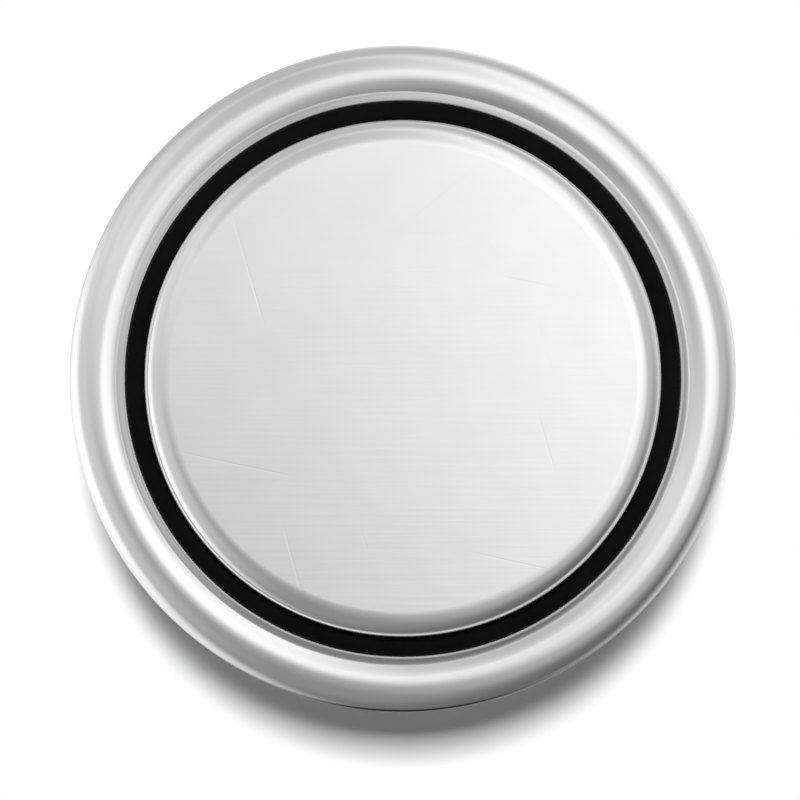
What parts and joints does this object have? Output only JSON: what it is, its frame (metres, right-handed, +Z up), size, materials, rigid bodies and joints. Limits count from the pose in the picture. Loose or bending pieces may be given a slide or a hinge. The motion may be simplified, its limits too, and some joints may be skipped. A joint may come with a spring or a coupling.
{
  "type": "silver oxide button cell",
  "caption": "Round sealed button cell: a crimped metal can, a black sealing ring and a raised flat cap, with its electrodes inside.",
  "frame": {"origin": "centre of the can's flat base, which is the positive contact", "axes": "+Z up the cell's axis, from the base to the flat of the cap; X and Y run along the arms of the plus sign in the base"},
  "size_m": [0.0116, 0.0116, 0.0054],
  "materials": {
    "can_plating": "satin nickel plate",
    "cap_plating": "satin nickel, bare copper inside",
    "gasket_nylon": "matt, as moulded",
    "pressed_oxide": "pressed powder",
    "ring_steel": "nickel plate",
    "separator_film": "laminated film",
    "fleece": "felted fibre",
    "zinc_gel": "wet gelled metal powder"
  },
  "bodies": {
    "root": {"positive_can": "can_plating", "negative_cap": "cap_plating", "gasket": "gasket_nylon", "cathode_pellet": "pressed_oxide", "support_ring": "ring_steel", "separator_film": "separator_film", "absorbent_pad": "fleece", "zinc_anode": "zinc_gel"}
  },
  "joints": []
}
